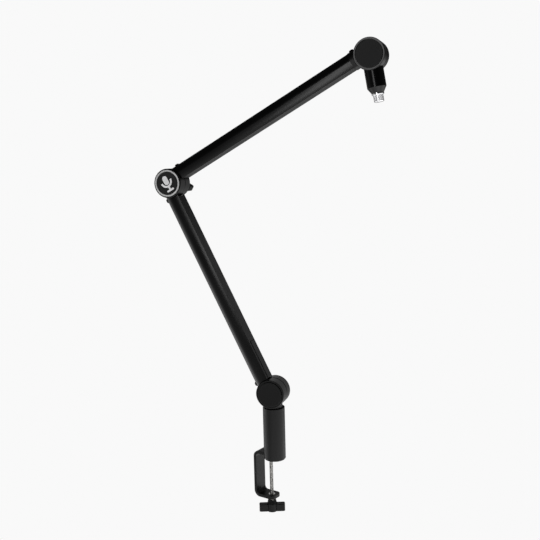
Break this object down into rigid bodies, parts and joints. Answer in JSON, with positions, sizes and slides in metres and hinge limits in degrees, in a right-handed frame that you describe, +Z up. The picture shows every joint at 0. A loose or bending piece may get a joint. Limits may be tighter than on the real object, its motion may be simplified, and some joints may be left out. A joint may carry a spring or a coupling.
{
  "type": "desk clamp microphone boom arm",
  "caption": "Two-link balanced boom arm with enclosed springs and cable channel, on a swivelling post with a screw clamp for a desk edge and a threaded stud for a microphone.",
  "frame": {"origin": "upper jaw face of the clamp, on the axis of the upright post", "axes": "+Z up the post, +X out of the clamp's throat, +Y across the clamp; the arms lean in a plane turned 16.5 degrees from XZ about Z"},
  "size_m": [0.3867, 0.1455, 0.774],
  "materials": {
    "black_casting": "satin black paint on die-cast alloy",
    "black_tube": "satin black anodised extrusion",
    "cover_strip": "matte black extruded plastic",
    "powder_coat": "fine textured black powder coat",
    "black_plastic": "matte black moulded plastic",
    "rubber": "black rubber",
    "black_steel": "black oxide steel",
    "zinc_steel": "zinc plated steel",
    "nylon": "black nylon",
    "brass": "turned brass",
    "silver_ring": "satin silver",
    "white_mark": "off-white print",
    "chrome": "polished chrome plate"
  },
  "bodies": {
    "desk_clamp": {"clamp_frame": "powder_coat", "clamp_nut": "zinc_steel", "jaw_pad": "rubber", "post_sleeve": "powder_coat", "sleeve_plug": "zinc_steel", "sleeve_bolts": "zinc_steel", "lower_bushing": "nylon", "upper_bushing": "nylon"},
    "pressure_foot": {"pressure_pad": "black_steel", "pressure_pad_rubber": "rubber"},
    "clamp_screw": {"clamp_screw": "zinc_steel", "clamp_knob": "black_plastic"},
    "post": {"swivel_post": "black_casting", "shaft_circlip": "zinc_steel", "base_rear_cap": "black_plastic", "base_friction_washer": "nylon", "base_spring_pin": "zinc_steel"},
    "lower_arm": {"lower_tube": "black_tube", "base_knuckle": "black_casting", "elbow_rear_knuckle": "black_casting", "lower_cable_cover": "cover_strip", "cable_exit_cover": "cover_strip", "lower_spring": "zinc_steel", "lower_spring_rod": "zinc_steel", "lower_spring_anchor": "zinc_steel", "lower_tube_screws": "black_steel", "base_front_cap": "black_plastic", "base_pivot_bolt": "zinc_steel", "base_pivot_nut": "zinc_steel", "elbow_friction_washer": "nylon", "elbow_spring_pin": "zinc_steel", "elbow_rear_washer": "zinc_steel"},
    "upper_arm": {"upper_tube": "black_tube", "elbow_front_knuckle": "black_casting", "tip_knuckle": "black_casting", "upper_cable_cover": "cover_strip", "upper_spring": "zinc_steel", "upper_spring_rod": "zinc_steel", "upper_spring_anchor": "zinc_steel", "upper_tube_screws": "black_steel", "upper_tube_band": "powder_coat", "elbow_front_cap": "black_plastic", "elbow_ring": "silver_ring", "elbow_badge": "black_plastic", "elbow_emblem": "white_mark", "elbow_pivot_bolt": "zinc_steel", "tip_rear_cap": "black_plastic", "tip_friction_washer": "nylon"},
    "elbow_knob": {"elbow_knob": "black_plastic", "elbow_knob_insert": "brass"},
    "mic_mount": {"mount_body": "black_casting", "mount_front_cap": "black_plastic", "tip_pivot_bolt": "zinc_steel", "tip_pivot_nut": "zinc_steel", "mount_collar": "chrome", "mic_stud": "chrome"}
  },
  "joints": [
    {"name": "clamp_screw_travel", "type": "slide", "parent": "desk_clamp", "child": "pressure_foot", "axis": [0, 0, 1], "range_m": [-0.058, 0]},
    {"name": "clamp_screw_turn", "type": "hinge", "parent": "pressure_foot", "child": "clamp_screw", "pos_m": [-0.0082, 0, -0.05], "axis": [0, 0, 1], "range_deg": [-20881, 0]},
    {"name": "base_swivel", "type": "hinge", "parent": "desk_clamp", "child": "post", "pos_m": [0, 0, 0.06], "axis": [0, 0, 1], "continuous": true},
    {"name": "base_tilt", "type": "hinge", "parent": "post", "child": "lower_arm", "pos_m": [0, 0, 0.1164], "axis": [0.284, -0.9588, 0], "range_deg": [-80, 50], "deforming": ["lower_spring", "lower_spring_rod"]},
    {"name": "elbow_bend", "type": "hinge", "parent": "lower_arm", "child": "upper_arm", "pos_m": [-0.16392, -0.04856, 0.46693], "axis": [0.284, -0.9588, 0], "range_deg": [-55, 80], "deforming": ["upper_spring", "upper_spring_rod"]},
    {"name": "elbow_tension", "type": "hinge", "parent": "lower_arm", "child": "elbow_knob", "pos_m": [-0.16392, -0.04856, 0.46693], "axis": [0.284, -0.9588, 0], "range_deg": [-360, 90]},
    {"name": "mount_tilt", "type": "hinge", "parent": "upper_arm", "child": "mic_mount", "pos_m": [0.16292, 0.04826, 0.65433], "axis": [0.284, -0.9588, 0], "range_deg": [-15, 150]}
  ],
  "couplings": [
    {"joint": "clamp_screw_turn", "follows": "clamp_screw_travel", "rad_per_m": 6283.2}
  ]
}
